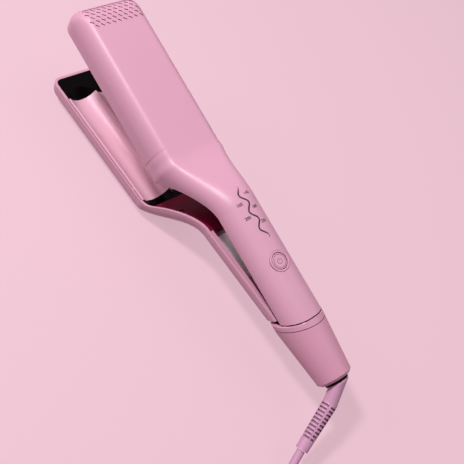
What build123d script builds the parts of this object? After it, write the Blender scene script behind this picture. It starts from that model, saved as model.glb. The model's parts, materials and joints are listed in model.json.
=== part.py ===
from build123d import *
import os
from math import cos, pi, radians, sin, sqrt, tan

# Hair waver: a main body (head, neck, handle, cord) and a sprung lower arm on a hinge pin.
# Every size is in millimetres. Both arms are drawn in the closed tool's own coordinates:
# x runs from the cord end to the tip, y across, z up from the handle's centre line.
# The tool lies with its lower jaw flat on z = 0, and the main body is pitched up about the pin.

# ---------------------------------------------------------------- whole tool
tool_length = 334.0
open_angle = 12.4
hinge_x = 40.7
hinge_z = -10.2
rest_x = 262.0
wall = 2.2
fit_gap = 0.15
body_gap = 0.3

# ---------------------------------------------------------------- heads and necks
head_width = 58.4
upper_rim_z = -30.0
upper_crown_z = -4.6
upper_edge_width = 9.0
upper_edge_height = 16.0
upper_tip_radius = 18.0
upper_tip_corner = 10.0
upper_shoulder_x = 191.6
crown_lead = 8.4
shoulder_blend = 3.0
flat_run = 6.0
least_flat = 0.25
jaw_gap = 2.0
lower_thickness = 19.0
lower_edge_radius = 12.5
lower_tip_x = 333.0
lower_shoulder_x = 197.0
lower_tip_corner = 7.0
neck_end_x = 141.0
neck_power = 1.5

# ---------------------------------------------------------------- tip vents
vent_rows = 5
vent_columns = 9
vent_row_pitch = 3.6
vent_column_pitch = 5.0
vent_first_x = 311.6
vent_length = 3.4
vent_width = 1.0
vent_turn = 50.0
vent_panel_margin = 1.2
vent_panel_corner = 4.0
vent_panel_depth = 0.35
vent_slot_depth = 0.7

# ---------------------------------------------------------------- handle and lever
handle_radius = 17.4
parting_z = 2.4
handle_flat = 5.4
lever_gap = 0.5
lever_lip = 4.6
lever_channel_depth = 9.0
lever_floor_half = 9.0
liner_thickness = 1.6
lever_rear_gap = 2.3
lever_rear_slant = 30.0
lever_block_x = 69.0
cover_thickness = 2.0
cover_recess = 0.6
neck_recess = 2.0
liner_front_x = 137.5
inner_cover_rear_x = 57.0
cover_screw_x = 169.0
cover_screw_y = 14.5
upper_screw_x = 74.0
board_post_radius = 2.0
board_post_inset = 4.0
board_post_spread = 7.0
screw_head_height = 1.2
cover_hole_radius = 2.2
screw_head_radius = 1.9

# ---------------------------------------------------------------- wave plates
plate_side_gap = 0.3
flange_width = 1.8
flange_thickness = 2.2
crest_width = 0.8
trough_depth = 6.7
plate_drop = 0.9
plate_floor = 2.0
hair_gap = 0.9
lower_plate_front_x = 310.0
upper_plate_front_x = 308.0
upper_plate_rear_x = 196.0
rear_cap_end_x = 188.5
rear_cap_trough = 6.0
lower_plate_setback = 1.5
heater_width = 44.0
heater_thickness = 2.2
heater_inset = 4.0
insulator_thickness = 2.4
post_radius = 2.5
post_inset = 14.0
post_spread = 11.0
cap_slope = 40.0
cap_reach = 40.0
cap_drop = 0.6
sensor_length = 8.0
sensor_width = 5.0
sensor_height = 1.8
fuse_radius = 1.8
fuse_half = 6.0

# ---------------------------------------------------------------- rear end and hinge
collar_x = 53.4
collar_width = 4.5
collar_radius = 18.8
collar_bevel = 0.8
seam_slant = 22.0
cap_end_radius = 13.5
cap_end_rise = 2.5
cap_chamfer = 2.0
cap_wall = 2.6
slot_half = 7.5
ear_rear_x = 35.0
ear_front_x = 47.0
pin_radius = 2.0
pin_clearance = 0.05
pin_half_length = 13.0
knuckle_radius = 5.0
tongue_half = 6.9
bush_radius = 3.0
spring_half = 2.7
spring_gap_half = 3.2
spring_gap_front_x = 47.5
spring_wire = 1.4
spring_turns = 4
spring_leg = 5.0
seam_gap = 0.5
collar_groove = 0.8

# ---------------------------------------------------------------- power button
button_x = 92.7
bezel_radius = 8.0
bezel_seat_z = 16.2
bezel_top_z = 17.6
bezel_sleeve_radius = 7.1
bezel_sleeve_z = 12.7
button_radius = 6.2
button_gap = 0.2
button_top_z = 17.3
button_travel = 0.7
button_flange_radius = 6.9
button_skin = 2.4
button_flange = 0.8
button_bevel = 0.5
bezel_bevel = 0.3
button_stem_radius = 1.6
board_top_z = 8.6
board_thickness = 1.6
board_half_width = 11.0
board_rear_x = 62.0
board_front_x = 132.0
switch_size = 6.2
switch_body_height = 2.4
switch_height = 3.4

# ---------------------------------------------------------------- swivel, strain relief, cord
cord_radius = 3.1
swivel_neck_radius = 6.2
swivel_flange_radius = 8.5
swivel_flange = 2.0
washer_thickness = 2.0
washer_radius = 9.2
relief_bend = 64.0
relief_tilt = 24.0
relief_base_thickness = 1.2
relief_base_radius = 8.6
relief_elbow_reach = 4.3
relief_waist_radius = 5.6
relief_waist = 14.0
relief_end_radius = 4.7
relief_length = 52.0
slot_count = 10
slot_pitch = 2.9
slot_width = 1.4
slot_depth = 1.9
slot_span = 6.4
first_slot = 15.5
coil_centre = (-352.0, 56.0)
coil_mean_radius = 36.0
coil_half_width = 10.0
coil_height = 24.8
tie_width = 9.0
tie_thickness = 1.2
plug_rear = (-376.0, 67.0)
plug_length = 34.0
plug_width = 25.0
plug_height = 14.0
plug_corner = 5.0
plug_edge = 2.5
plug_pin_radius = 2.0
plug_pin_pitch = 19.0
plug_pin_length = 19.0

# ---------------------------------------------------------------- derived sizes and frames
head_half = head_width / 2
lower_rim_z = upper_rim_z - jaw_gap
floor_drop = lower_thickness - lower_rim_z
lever_rim_z = parting_z - lever_gap
plate_width = head_width - 2 * (wall + plate_side_gap)
plate_half = plate_width / 2
trough_half = (plate_half - flange_width - crest_width / 2) / 2
trough_y = crest_width / 2 + trough_half
trough_radius = (trough_half**2 + trough_depth**2) / (2 * trough_depth)
lower_plate_z = lower_rim_z - plate_drop
lower_plate_back_z = lower_plate_z - trough_depth - plate_floor
upper_plate_z = lower_plate_z + hair_gap
upper_plate_back_z = upper_plate_z + flange_thickness
heater_half = heater_width / 2
tilt = radians(open_angle)
pin_point = Vector(hinge_x - rest_x, 0, hinge_z + floor_drop)
body_x = Vector(cos(tilt), 0, sin(tilt))
body_z = Vector(-sin(tilt), 0, cos(tilt))
body_origin = pin_point - body_x * hinge_x - body_z * hinge_z
BODY = Plane(origin=body_origin, x_dir=body_x, z_dir=body_z)
ARM = Plane(origin=(-rest_x, 0, floor_drop), x_dir=(1, 0, 0), z_dir=(0, 0, 1))
# The lower casing is drawn upside down, so that both casings share one form.
ARM_FLIPPED = Plane(origin=ARM.origin, x_dir=(1, 0, 0), z_dir=(0, 0, -1))

os.makedirs("parts", exist_ok=True)


def across(base, x):
    """Plane square to the tool at x: local X across, local Y up, normal to the tip."""
    origin = base.from_local_coords(Vector(x, 0, 0))
    return Plane(origin=origin, x_dir=base.y_dir, z_dir=base.x_dir)


def along(base, y):
    """Plane along the tool at y: local X to the tip, local Y up, normal to the right."""
    origin = base.from_local_coords(Vector(0, y, 0))
    return Plane(origin=origin, x_dir=base.x_dir, z_dir=-base.y_dir)


def level(base, z):
    """Plane parallel to the plates at z: local X to the tip, local Y across, normal up."""
    origin = base.from_local_coords(Vector(0, 0, z))
    return Plane(origin=origin, x_dir=base.x_dir, z_dir=base.z_dir)


def slanted(base, x, slant):
    """Plane across the tool at x whose top leans to the rear by slant degrees."""
    normal = base.x_dir * cos(radians(slant)) + base.z_dir * sin(radians(slant))
    origin = base.from_local_coords(Vector(x, 0, 0))
    return Plane(origin=origin, x_dir=base.y_dir, z_dir=normal)


def save(part, name):
    """Name a finished piece and write it as its own node."""
    part.label = name
    export_step(part, f"parts/{name}.step")


class Form:
    """Outline law of one casing: half width, rim, crown and corner radius along the tool."""

    def __init__(self, base, head, handle, edge, handle_corner, shoulder_x, tip):
        self.base = base
        self.head_rim, self.head_crown = head
        self.handle_rim, self.handle_crown = handle
        self.edge_width, self.edge_height = edge
        self.handle_corner = handle_corner
        self.shoulder_x = shoulder_x
        self.crown_x = shoulder_x + crown_lead
        self.tip_x, self.tip_corner, self.tip_radius = tip

    def share(self, x, start):
        """Share of the step from head to handle that a line starting sharply has made at x."""
        run = min(max((start - x) / (start - neck_end_x), 0), 1)
        return 1 - (1 - run) ** neck_power

    def smooth_share(self, x):
        """Share of the step from head to handle that the crown has made at x."""
        run = min(max((self.crown_x - x) / (self.crown_x - neck_end_x), 0), 1)
        return run * run * (3 - 2 * run)

    def tip_drop(self, x, inset, radius):
        """How far a rounded edge at the tip has drawn in at x."""
        left = max(radius - inset, 0.5)
        over = min(max(x - (self.tip_x - inset - left), 0), left)
        return left - sqrt(left**2 - over**2)

    def rim(self, x):
        return self.head_rim + (self.handle_rim - self.head_rim) * self.share(x, upper_shoulder_x)

    def half(self, x, inset):
        narrowed = (head_half - handle_radius) * self.share(x, self.shoulder_x)
        return head_half - narrowed - inset - self.tip_drop(x, inset, self.tip_corner)

    def crown(self, x, inset):
        risen = (self.handle_crown - self.head_crown) * self.smooth_share(x)
        return self.head_crown + risen - inset - self.tip_drop(x, inset, self.tip_radius)

    def corner(self, x, inset):
        """Width and height of the rounded edge between side and crown at x."""
        eased = self.smooth_share(x)
        width = self.edge_width + (self.handle_corner - self.edge_width) * eased - inset
        height = self.edge_height + (self.handle_corner - self.edge_height) * eased - inset
        height -= self.tip_drop(x, inset, self.tip_radius)
        side_left = self.half(x, inset) - least_flat
        rise_left = self.crown(x, inset) - self.rim(x) - least_flat
        return max(min(width, side_left), 1), max(min(height, rise_left), 1)


upper = Form(
    BODY,
    (upper_rim_z, upper_crown_z),
    (parting_z, handle_radius),
    (upper_edge_width, upper_edge_height),
    handle_radius - handle_flat / 2,
    upper_shoulder_x,
    (tool_length, upper_tip_corner, upper_tip_radius),
)
lower = Form(
    ARM_FLIPPED,
    (-lower_rim_z, floor_drop),
    (-lever_rim_z, handle_radius),
    (lower_edge_radius, lower_edge_radius),
    handle_radius - 0.4,
    lower_shoulder_x,
    (lower_tip_x, lower_tip_corner, lower_edge_radius),
)


def arch(form, x, inset):
    """Sketch of a casing at x: straight sides from the rim and a crown with rounded edges."""
    half = form.half(x, inset)
    crown = form.crown(x, inset)
    width, height = form.corner(x, inset)
    bottom = form.rim(x) - inset
    flat = half - width
    side_top = crown - height
    with BuildSketch(across(form.base, x)) as section:
        with BuildLine():
            Line((half, bottom), (half, side_top))
            EllipticalCenterArc((flat, side_top), width, height, 0, arc_size=90)
            Line((flat, crown), (-flat, crown))
            EllipticalCenterArc((-flat, side_top), width, height, 90, arc_size=90)
            Line((-half, side_top), (-half, bottom))
            Line((-half, bottom), (half, bottom))
        make_face()
    return section.sketch


def casing(form, inset, rear_x):
    """Solid of a casing from the tip back to rear_x, drawn in by inset."""
    edge = form.tip_radius - inset
    round_x = form.tip_x - form.tip_radius
    flat_x = form.crown_x + flat_run
    neck = form.shoulder_x - shoulder_blend - neck_end_x
    tip_steps = [round_x + edge * sin(radians(turn)) for turn in (0, 14, 28, 42, 54, 66, 78, 90)]
    neck_steps = [flat_x, form.crown_x + flat_run / 2, form.crown_x]
    neck_steps += [form.shoulder_x + shoulder_blend * part for part in (1, 0.3, -0.3)]
    neck_steps += [neck_end_x + neck * part for part in (1, 0.9, 0.75, 0.55, 0.35, 0.15, 0)]
    with BuildPart() as solid:
        extrude(arch(form, flat_x, inset), amount=round_x - flat_x)
        for steps in (tip_steps, neck_steps):
            for x in steps:
                add(arch(form, x, inset))
            loft()
        extrude(arch(form, neck_end_x, inset), amount=rear_x - neck_end_x)
    return solid.part


def vents():
    """Cutter for the vent panel and its slots, which follow the rounded crown of the tip."""
    low_z = upper_crown_z - upper_tip_radius
    panel_length = (vent_rows - 1) * vent_row_pitch + vent_length + 2 * vent_panel_margin
    panel_width = (vent_columns - 1) * vent_column_pitch + vent_length + 2 * vent_panel_margin
    centre_x = vent_first_x + (vent_rows - 1) * vent_row_pitch / 2
    with BuildPart() as panel:
        with BuildSketch(level(BODY, low_z)):
            with Locations((centre_x, 0)):
                RectangleRounded(panel_length, panel_width, vent_panel_corner)
        extrude(amount=2 * upper_tip_radius)
        add(casing(upper, vent_panel_depth, collar_x), mode=Mode.SUBTRACT)
    with BuildPart() as slots:
        with BuildSketch(level(BODY, low_z)):
            for row in range(vent_rows):
                shift = vent_column_pitch / 4 * (1 if row % 2 else -1)
                with Locations((vent_first_x + row * vent_row_pitch, shift)):
                    with GridLocations(0, vent_column_pitch, 1, vent_columns):
                        SlotOverall(vent_length, vent_width, rotation=vent_turn)
        extrude(amount=2 * upper_tip_radius)
        add(casing(upper, vent_panel_depth + vent_slot_depth, collar_x), mode=Mode.SUBTRACT)
    return panel.part + slots.part


def rim_band(form, low, high, front_x, rear_x):
    """Bar as wide as the head that follows a casing's rim between two offsets from it."""
    count = 13
    steps = [front_x + (rear_x - front_x) * i / (count - 1) for i in range(count)]
    lower_line = [(x, form.rim(x) + low) for x in steps]
    upper_line = [(x, form.rim(x) + high) for x in reversed(steps)]
    with BuildPart() as band:
        with BuildSketch(along(form.base, head_half)):
            with BuildLine():
                Spline(*lower_line)
                Line(lower_line[-1], upper_line[0])
                Spline(*upper_line)
                Line(upper_line[-1], lower_line[0])
            make_face()
        extrude(amount=head_width)
    return band.part


def troughs(base, x, top_z, limit_z):
    """Sketch at x of the two round troughs that start at top_z, cut off at limit_z."""
    centre_z = top_z - trough_depth + trough_radius
    with BuildSketch(across(base, x)) as section:
        with Locations((-trough_y, centre_z), (trough_y, centre_z)):
            Circle(trough_radius)
        with Locations((0, limit_z)):
            Rectangle(2 * head_width, 4 * trough_radius, align=(Align.CENTER, Align.MIN), mode=Mode.SUBTRACT)
    return section.sketch


def slab(base, z, thickness, rear_x, front_x, width):
    """Flat plate from rear_x to front_x that lies between z and z + thickness."""
    with BuildPart() as plate:
        with BuildSketch(level(base, z)):
            with Locations(((rear_x + front_x) / 2, 0)):
                Rectangle(front_x - rear_x, width)
        extrude(amount=thickness)
    return plate.part


def posts(base, z, height, places, radius):
    """Round posts that stand on z at several places."""
    with BuildPart() as group:
        with BuildSketch(level(base, z)):
            with Locations(*places):
                Circle(radius)
        extrude(amount=height)
    return group.part


def rod(base, x, z, radius, half):
    """Round bar across the tool, as long to each side as half."""
    with BuildPart() as bar:
        with BuildSketch(along(base, half)):
            with Locations((x, z)):
                Circle(radius)
        extrude(amount=2 * half)
    return bar.part


def turned(base, x, outline):
    """Round piece about an upright axis at x, from its half outline of radius and height."""
    axis = Axis(base.from_local_coords(Vector(x, 0, 0)), base.z_dir)
    with BuildPart() as piece:
        with BuildSketch(along(base, 0)):
            with BuildLine():
                Polyline(*[(x + radius, z) for radius, z in outline], close=True)
            make_face()
        revolve(axis=axis)
    return piece.part


# ---------------------------------------------------------------- casings
upper_inner = casing(upper, wall, collar_x - handle_radius)
lower_inner = casing(lower, wall, lever_block_x)
upper_liner_space = casing(upper, wall + fit_gap, collar_x - handle_radius)
lower_liner_space = casing(lower, wall + fit_gap, lever_block_x)

with BuildPart() as upper_housing:
    add(casing(upper, 0, collar_x - handle_radius))
    add(vents(), mode=Mode.SUBTRACT)
    add(upper_inner, mode=Mode.SUBTRACT)
    split(bisect_by=slanted(BODY, collar_x + collar_groove, seam_slant), keep=Keep.TOP)
    with BuildSketch(level(BODY, bezel_seat_z)):
        with Locations((button_x, 0)):
            Circle(bezel_radius + fit_gap)
    extrude(amount=handle_radius, mode=Mode.SUBTRACT)
    with BuildSketch(level(BODY, bezel_sleeve_z)):
        with Locations((button_x, 0)):
            Circle(bezel_sleeve_radius + fit_gap)
    extrude(amount=handle_radius, mode=Mode.SUBTRACT)
save(upper_housing.part, "upper_housing")

lever_rear_x = collar_x + lever_rear_gap
with BuildPart() as lower_housing:
    add(casing(lower, 0, collar_x - handle_radius))
    add(lower_inner, mode=Mode.SUBTRACT)
    split(bisect_by=slanted(ARM, lever_rear_x, lever_rear_slant), keep=Keep.TOP)
    with BuildSketch(along(ARM, tongue_half)):
        with Locations((hinge_x, hinge_z)):
            Circle(knuckle_radius)
        with Locations((hinge_x, hinge_z)):
            Rectangle(lever_block_x - hinge_x - wall, 2 * knuckle_radius, align=(Align.MIN, Align.CENTER))
    extrude(amount=2 * tongue_half)
    with BuildSketch(along(ARM, spring_gap_half)):
        with Locations((hinge_x, hinge_z)):
            Circle(knuckle_radius + body_gap)
        with Locations((hinge_x, hinge_z)):
            Rectangle(spring_gap_front_x - hinge_x, 2 * knuckle_radius + 1, align=(Align.MIN, Align.CENTER))
    extrude(amount=2 * spring_gap_half, mode=Mode.SUBTRACT)
    add(rod(ARM, hinge_x, hinge_z, bush_radius, tongue_half), mode=Mode.SUBTRACT)
save(lower_housing.part, "lower_housing")

# ---------------------------------------------------------------- wave plates, heaters, carriers
lower_plate_rear_x = lower_shoulder_x + lower_plate_setback
lower_plate_run = lower_plate_front_x - lower_plate_rear_x
lower_plate_side_z = lower_plate_z - flange_thickness
lower_heater_z = lower_plate_back_z - heater_thickness
lower_insulator_z = lower_heater_z - insulator_thickness
lower_floor_z = wall - floor_drop
heater_places = (lower_plate_rear_x + heater_inset, lower_plate_front_x - heater_inset)

with BuildPart() as lower_wave_plate:
    with BuildSketch(across(ARM, lower_plate_rear_x)):
        with BuildLine():
            Polyline(
                (plate_half, lower_plate_z),
                (plate_half, lower_plate_side_z),
                (heater_half, lower_plate_back_z),
                (-heater_half, lower_plate_back_z),
                (-plate_half, lower_plate_side_z),
                (-plate_half, lower_plate_z),
                close=True,
            )
        make_face()
    extrude(amount=lower_plate_run)
    extrude(
        troughs(ARM, lower_plate_rear_x, lower_plate_z, lower_rim_z),
        amount=lower_plate_run,
        mode=Mode.SUBTRACT,
    )
save(lower_wave_plate.part, "lower_wave_plate")

lower_heater_width = heater_width - 2 * heater_inset
lower_heater = slab(ARM, lower_heater_z, heater_thickness, *heater_places, lower_heater_width)
save(lower_heater, "lower_heater")

lower_post_x = (lower_plate_rear_x + post_inset, lower_plate_front_x - post_inset)
with BuildPart() as lower_insulator:
    add(slab(ARM, lower_insulator_z, insulator_thickness, *heater_places, lower_heater_width))
    places = [(x, y) for x in lower_post_x for y in (-post_spread, post_spread)]
    add(posts(ARM, lower_floor_z, lower_insulator_z - lower_floor_z, places, post_radius))
save(lower_insulator.part, "lower_insulator")

with BuildPart() as temperature_sensor:
    with BuildSketch(level(ARM, lower_insulator_z - sensor_height)):
        with Locations(((lower_plate_rear_x + lower_plate_front_x) / 2, 0)):
            Rectangle(sensor_length, sensor_width)
    extrude(amount=sensor_height)
save(temperature_sensor.part, "temperature_sensor")

upper_plate_run = upper_plate_front_x - upper_plate_rear_x
upper_places = (upper_plate_rear_x, upper_plate_front_x)
upper_insulator_z = upper_plate_back_z + heater_thickness
upper_insulator_top_z = upper_insulator_z + insulator_thickness
upper_roof_z = upper_crown_z - wall
with BuildPart() as upper_wave_plate:
    add(slab(BODY, upper_plate_z, flange_thickness, *upper_places, plate_width))
    extrude(
        troughs(BODY, upper_plate_rear_x, upper_plate_z, upper_plate_z),
        amount=upper_plate_run,
    )
save(upper_wave_plate.part, "upper_wave_plate")

upper_heater = slab(BODY, upper_plate_back_z, heater_thickness, *upper_places, heater_width)
save(upper_heater, "upper_heater")

upper_post_x = (upper.crown_x + post_radius, upper_plate_front_x - post_inset)
with BuildPart() as upper_insulator:
    add(slab(BODY, upper_insulator_z, insulator_thickness, *upper_places, heater_width))
    places = [(x, y) for x in upper_post_x for y in (-post_spread, post_spread)]
    add(posts(BODY, upper_insulator_top_z, upper_roof_z - upper_insulator_top_z, places, post_radius))
save(upper_insulator.part, "upper_insulator")

fuse_x = (upper_plate_rear_x + upper_plate_front_x) / 2
thermal_fuse = rod(BODY, fuse_x, upper_insulator_top_z + fuse_radius, fuse_radius, fuse_half)
save(thermal_fuse, "thermal_fuse")

# ---------------------------------------------------------------- heat-proof end caps
cap_top_z = lower_rim_z - cap_drop
cap_rise = Vector(cos(radians(cap_slope)), 0, sin(radians(cap_slope)))
with BuildPart() as lower_front_cap:
    add(
        slab(
            ARM,
            lower_heater_z,
            cap_top_z - lower_heater_z,
            lower_plate_front_x,
            lower_tip_x,
            head_width,
        )
    )
    add(lower_liner_space, mode=Mode.INTERSECT)
    extrude(
        troughs(ARM, lower_plate_front_x, lower_plate_z, lower_rim_z),
        amount=cap_reach,
        dir=cap_rise,
        mode=Mode.SUBTRACT,
    )
save(lower_front_cap.part, "lower_front_cap")

with BuildPart() as lower_rear_cap:
    add(rim_band(lower, cap_drop, lower_thickness, lower_plate_rear_x, rear_cap_end_x))
    add(lower_liner_space, mode=Mode.INTERSECT)
    extrude(
        troughs(ARM, lower_plate_rear_x, lower_plate_z, lower_plate_z + trough_radius),
        amount=-rear_cap_trough,
        mode=Mode.SUBTRACT,
    )
    extrude(
        troughs(ARM, lower_plate_rear_x - rear_cap_trough, lower_plate_z, lower_plate_z + trough_radius),
        amount=cap_reach,
        dir=Vector(-cap_rise.X, 0, cap_rise.Z),
        mode=Mode.SUBTRACT,
    )
save(lower_rear_cap.part, "lower_rear_cap")

upper_cap_z = upper_rim_z - cap_drop
with BuildPart() as upper_front_cap:
    add(
        slab(
            BODY,
            upper_cap_z,
            upper_insulator_top_z - upper_cap_z,
            upper_plate_front_x,
            tool_length,
            head_width,
        )
    )
    add(upper_liner_space, mode=Mode.INTERSECT)
save(upper_front_cap.part, "upper_front_cap")

with BuildPart() as upper_rear_cap:
    add(rim_band(upper, cap_drop, upper_insulator_top_z - upper_rim_z, upper_plate_rear_x, rear_cap_end_x))
    add(upper_liner_space, mode=Mode.INTERSECT)
save(upper_rear_cap.part, "upper_rear_cap")

# ---------------------------------------------------------------- inner covers and lever liner
cover_high = cover_recess + cover_thickness
lower_screws = [(cover_screw_x, -cover_screw_y), (cover_screw_x, cover_screw_y)]
with BuildPart() as lower_neck_cover:
    add(rim_band(lower, neck_recess, neck_recess + cover_thickness, rear_cap_end_x, liner_front_x))
    add(lower_liner_space, mode=Mode.INTERSECT)
    add(
        posts(ARM, -floor_drop, floor_drop + lever_rim_z, lower_screws, cover_hole_radius),
        mode=Mode.SUBTRACT,
    )
save(lower_neck_cover.part, "lower_neck_cover")

lower_cover_z = -lower.rim(cover_screw_x) - neck_recess - cover_thickness
lower_cover_screws = posts(ARM, lower_cover_z, screw_head_height, lower_screws, screw_head_radius)
save(lower_cover_screws, "lower_cover_screws")

lip_outer = handle_radius - wall - fit_gap
lip_inner = handle_radius - lever_lip
channel_z = lever_rim_z - lever_channel_depth
half_section = [
    (lip_outer, lever_rim_z),
    (lip_inner, lever_rim_z),
    (lever_floor_half, channel_z),
]
under_section = [
    (lever_floor_half, channel_z - liner_thickness),
    (lip_inner + liner_thickness / 2, lever_rim_z - liner_thickness),
    (lip_outer, lever_rim_z - liner_thickness),
]
liner_outline = half_section + [(-y, z) for y, z in reversed(half_section)]
liner_outline += [(-y, z) for y, z in reversed(under_section)] + under_section
with BuildPart() as lever_liner:
    with BuildSketch(across(ARM, lever_block_x)):
        with BuildLine():
            Polyline(*liner_outline, close=True)
        make_face()
    extrude(amount=liner_front_x - fit_gap - lever_block_x)
save(lever_liner.part, "lever_liner")

cover_top_z = parting_z + cover_high
board_z = board_top_z - board_thickness
board_post_x = (board_rear_x + board_post_inset, board_front_x - board_post_inset)
board_posts = [(x, y) for x in board_post_x for y in (-board_post_spread, board_post_spread)]
upper_screws = [(upper_screw_x, 0), (cover_screw_x, 0)]
with BuildPart() as upper_inner_cover:
    add(rim_band(upper, cover_recess, cover_high, rear_cap_end_x, neck_end_x))
    add(rim_band(upper, cover_recess, cover_high, neck_end_x, inner_cover_rear_x))
    add(upper_liner_space, mode=Mode.INTERSECT)
    add(posts(BODY, cover_top_z, board_z - cover_top_z, board_posts, board_post_radius))
    add(posts(BODY, upper_rim_z, floor_drop, upper_screws, cover_hole_radius), mode=Mode.SUBTRACT)
save(upper_inner_cover.part, "upper_inner_cover")

with BuildPart() as upper_cover_screws:
    for x, y in upper_screws:
        head_z = upper.rim(x) + cover_high - screw_head_height
        add(posts(BODY, head_z, screw_head_height, [(x, y)], screw_head_radius))
save(upper_cover_screws.part, "upper_cover_screws")

# ---------------------------------------------------------------- power button and board
with BuildPart() as control_board:
    add(slab(BODY, board_z, board_thickness, board_rear_x, board_front_x, 2 * board_half_width))
save(control_board.part, "control_board")

with BuildPart() as tact_switch:
    with BuildSketch(level(BODY, board_top_z)):
        with Locations((button_x, 0)):
            Rectangle(switch_size, switch_size)
    extrude(amount=switch_body_height)
    with BuildSketch(level(BODY, board_top_z + switch_body_height)):
        with Locations((button_x, 0)):
            Circle(button_stem_radius)
    extrude(amount=switch_height - switch_body_height)
save(tact_switch.part, "tact_switch")

bore_radius = button_radius + button_gap
button_ring = turned(
    BODY,
    button_x,
    [
        (bore_radius, bezel_sleeve_z),
        (bore_radius, bezel_top_z - bezel_bevel),
        (bore_radius + bezel_bevel, bezel_top_z),
        (bezel_radius - bezel_bevel, bezel_top_z),
        (bezel_radius, bezel_top_z - bezel_bevel),
        (bezel_radius, bezel_seat_z),
        (bezel_sleeve_radius, bezel_seat_z),
        (bezel_sleeve_radius, bezel_sleeve_z),
    ],
)
save(button_ring, "button_ring")

flange_top_z = bezel_sleeve_z - button_gap
flange_bottom_z = flange_top_z - button_flange
stem_bottom_z = board_top_z + switch_height + button_travel + fit_gap
power_button = turned(
    BODY,
    button_x,
    [
        (0, button_top_z),
        (button_radius - button_bevel, button_top_z),
        (button_radius, button_top_z - button_bevel),
        (button_radius, flange_top_z),
        (button_flange_radius, flange_top_z),
        (button_flange_radius, flange_bottom_z),
        (button_radius - button_skin / 2, flange_bottom_z),
        (button_radius - button_skin / 2, button_top_z - button_skin),
        (button_stem_radius, button_top_z - button_skin),
        (button_stem_radius, stem_bottom_z),
        (0, stem_bottom_z),
    ],
)
save(power_button, "power_button")


# ---------------------------------------------------------------- collar, rear cap and hinge
def rear_form(inset, rear_x):
    """Solid of the rear cap and collar from rear_x: a cone that leans up towards the cord."""
    cone_end_x = collar_x - collar_width
    radius = cap_end_radius + (collar_radius - cap_end_radius) * rear_x / cone_end_x
    rise = cap_end_rise * (1 - rear_x / cone_end_x)
    with BuildPart() as solid:
        with BuildSketch(across(BODY, rear_x)):
            with Locations((0, rise)):
                Circle(radius - inset)
        with BuildSketch(across(BODY, cone_end_x)):
            Circle(collar_radius - inset)
        loft(ruled=True)
        with BuildSketch(across(BODY, cone_end_x)):
            Circle(collar_radius - inset)
        extrude(amount=collar_radius)
    return solid.part


def hinge_slot():
    """Room under the tool for the lower arm's tongue, open to the bottom and the front."""
    with BuildPart() as room:
        with BuildSketch(along(BODY, slot_half)):
            with Locations((ear_rear_x, hinge_z + knuckle_radius + body_gap)):
                Rectangle(2 * collar_radius, 2 * collar_radius, align=(Align.MIN, Align.MAX))
        extrude(amount=2 * slot_half)
    return room.part


rear_body = rear_form(0, 0)
rear_room = rear_form(cap_wall, cap_wall)
seam_front = slanted(BODY, collar_x, seam_slant)
seam_rear = slanted(BODY, collar_x - collar_width, seam_slant)
seam_cap = slanted(BODY, collar_x - collar_width - seam_gap, seam_slant)

with BuildPart() as hinge_collar:
    add(rear_body)
    split(bisect_by=seam_front, keep=Keep.BOTTOM)
    front_face = hinge_collar.faces().sort_by(Axis(BODY.origin, BODY.x_dir))[-1]
    chamfer(front_face.edges(), collar_bevel)
    split(bisect_by=seam_rear, keep=Keep.TOP)
    add(rear_room, mode=Mode.SUBTRACT)
    add(hinge_slot(), mode=Mode.SUBTRACT)
save(hinge_collar.part, "hinge_collar")

with BuildPart() as hinge_ears:
    with BuildSketch(along(BODY, collar_radius)):
        with Locations((ear_rear_x, hinge_z + knuckle_radius)):
            Rectangle(ear_front_x - ear_rear_x, collar_radius, align=(Align.MIN, Align.MAX))
    extrude(amount=2 * collar_radius)
    add(rear_form(cap_wall / 2, 0), mode=Mode.INTERSECT)

with BuildPart() as rear_cap:
    add(rear_body)
    rear_edge = rear_cap.edges().sort_by(Axis(BODY.origin, BODY.x_dir))[0]
    chamfer(rear_edge, cap_chamfer)
    add(rear_room, mode=Mode.SUBTRACT)
    split(bisect_by=seam_cap, keep=Keep.BOTTOM)
    add(hinge_ears.part)
    add(hinge_slot(), mode=Mode.SUBTRACT)
    with BuildSketch(across(BODY, 0)):
        with Locations((0, cap_end_rise)):
            Circle(swivel_neck_radius + body_gap)
    extrude(amount=cap_wall + collar_width, mode=Mode.SUBTRACT)
    add(rod(BODY, hinge_x, hinge_z, pin_radius, pin_half_length), mode=Mode.SUBTRACT)
save(rear_cap.part, "rear_cap")

save(rod(BODY, hinge_x, hinge_z, pin_radius, pin_half_length), "hinge_pin")

with BuildPart() as hinge_bush:
    add(rod(ARM, hinge_x, hinge_z, bush_radius, tongue_half))
    add(rod(ARM, hinge_x, hinge_z, pin_radius + pin_clearance, tongue_half), mode=Mode.SUBTRACT)
    add(rod(ARM, hinge_x, hinge_z, knuckle_radius, spring_gap_half), mode=Mode.SUBTRACT)
save(hinge_bush.part, "hinge_bush")

coil_radius = pin_radius + body_gap + spring_wire / 2
spring_pitch = (2 * spring_half - spring_wire) / (spring_turns - 1)
pin_axis = Axis(BODY.from_local_coords(Vector(hinge_x, 0, hinge_z)), BODY.y_dir)
with BuildPart() as torsion_spring:
    with BuildSketch(level(BODY, hinge_z)):
        for turn in range(spring_turns):
            with Locations((hinge_x + coil_radius, spring_wire / 2 - spring_half + turn * spring_pitch)):
                Circle(spring_wire / 2)
    revolve(axis=pin_axis)
    with BuildSketch(across(BODY, hinge_x)):
        with Locations((spring_half - spring_wire / 2, hinge_z - coil_radius)):
            Circle(spring_wire / 2)
    extrude(amount=-spring_leg)
    with BuildSketch(across(BODY, hinge_x)):
        with Locations((spring_wire / 2 - spring_half, hinge_z + coil_radius)):
            Circle(spring_wire / 2)
    extrude(amount=-spring_leg)
save(torsion_spring.part, "torsion_spring")

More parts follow.
